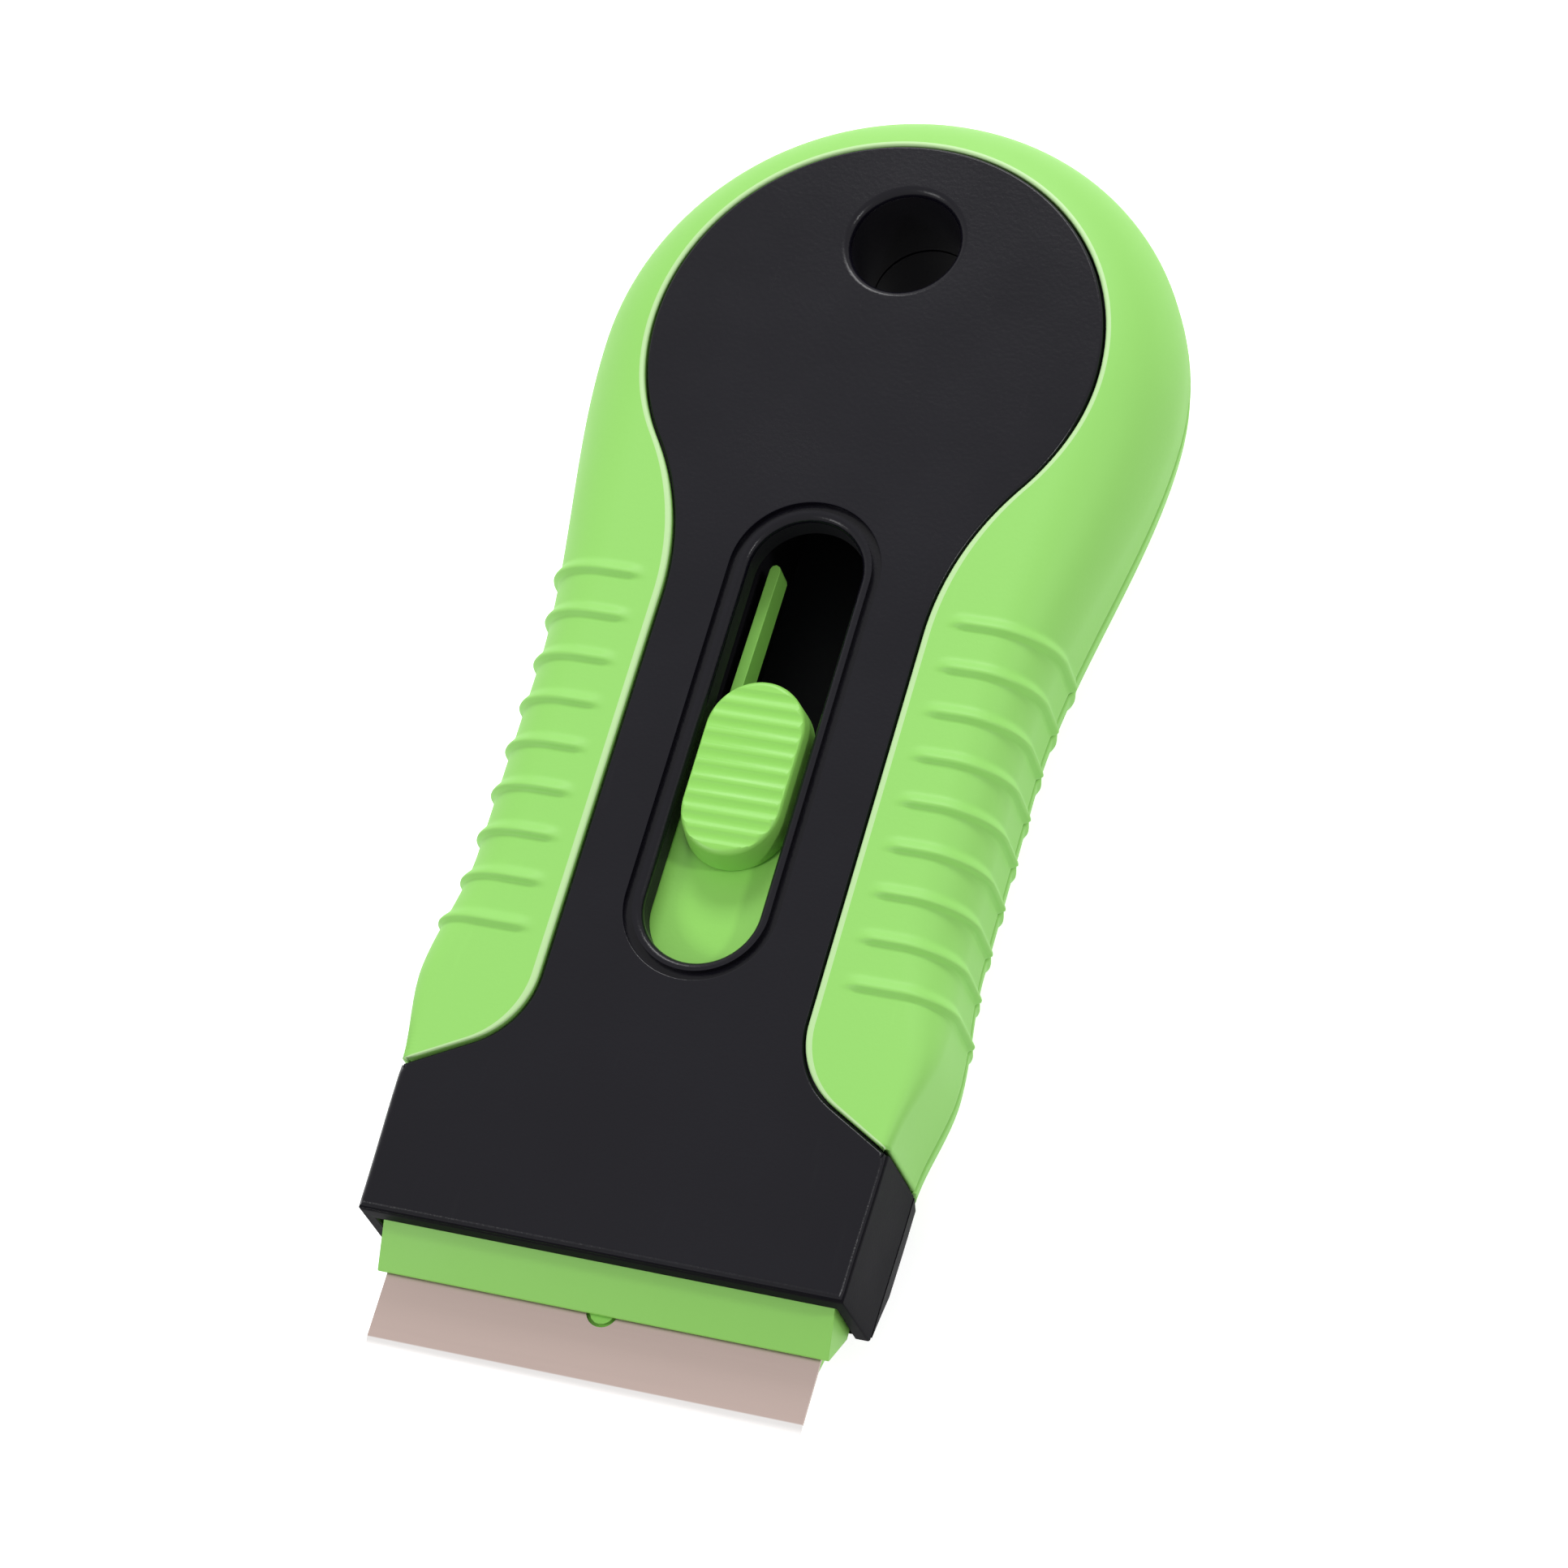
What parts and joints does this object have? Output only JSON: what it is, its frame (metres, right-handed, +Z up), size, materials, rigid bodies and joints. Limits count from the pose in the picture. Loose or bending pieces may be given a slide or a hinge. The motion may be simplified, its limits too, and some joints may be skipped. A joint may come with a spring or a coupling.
{
  "type": "glue removal scraper",
  "caption": "Flat hand scraper with a round-headed grip, a hanging hole and a wide straight blade in a carrier that a thumb button slides in and out.",
  "frame": {"origin": "centre of the bounding box on the table the tool lies on", "axes": "+Y from the blade towards the round tail, +Z up through the face with the thumb button, +X to the right seen from above with the tail away"},
  "size_m": [0.0542, 0.1238, 0.0176],
  "materials": {
    "black_shell": "satin black hard plastic, slightly glossy on the edges",
    "green_grip": "smooth soft lime green moulding",
    "green_slider": "lime green hard plastic with a low sheen",
    "blade_steel": "matte ground steel with a brighter ground edge",
    "screw_zinc": "zinc plated steel"
  },
  "bodies": {
    "handle": {"top_shell": "black_shell", "bottom_shell": "black_shell", "top_grip": "green_grip", "bottom_grip": "green_grip", "case_screw_right": "screw_zinc", "case_screw_left": "screw_zinc", "case_screw_back": "screw_zinc"},
    "slider": {"blade_carrier": "green_slider", "thumb_button": "green_slider", "blade_clamp": "green_slider", "blade": "blade_steel"}
  },
  "joints": [
    {"name": "carrier_slide", "type": "slide", "parent": "handle", "child": "slider", "axis": [0, -1, 0], "range_m": [-0.0156, 0.0092]}
  ]
}
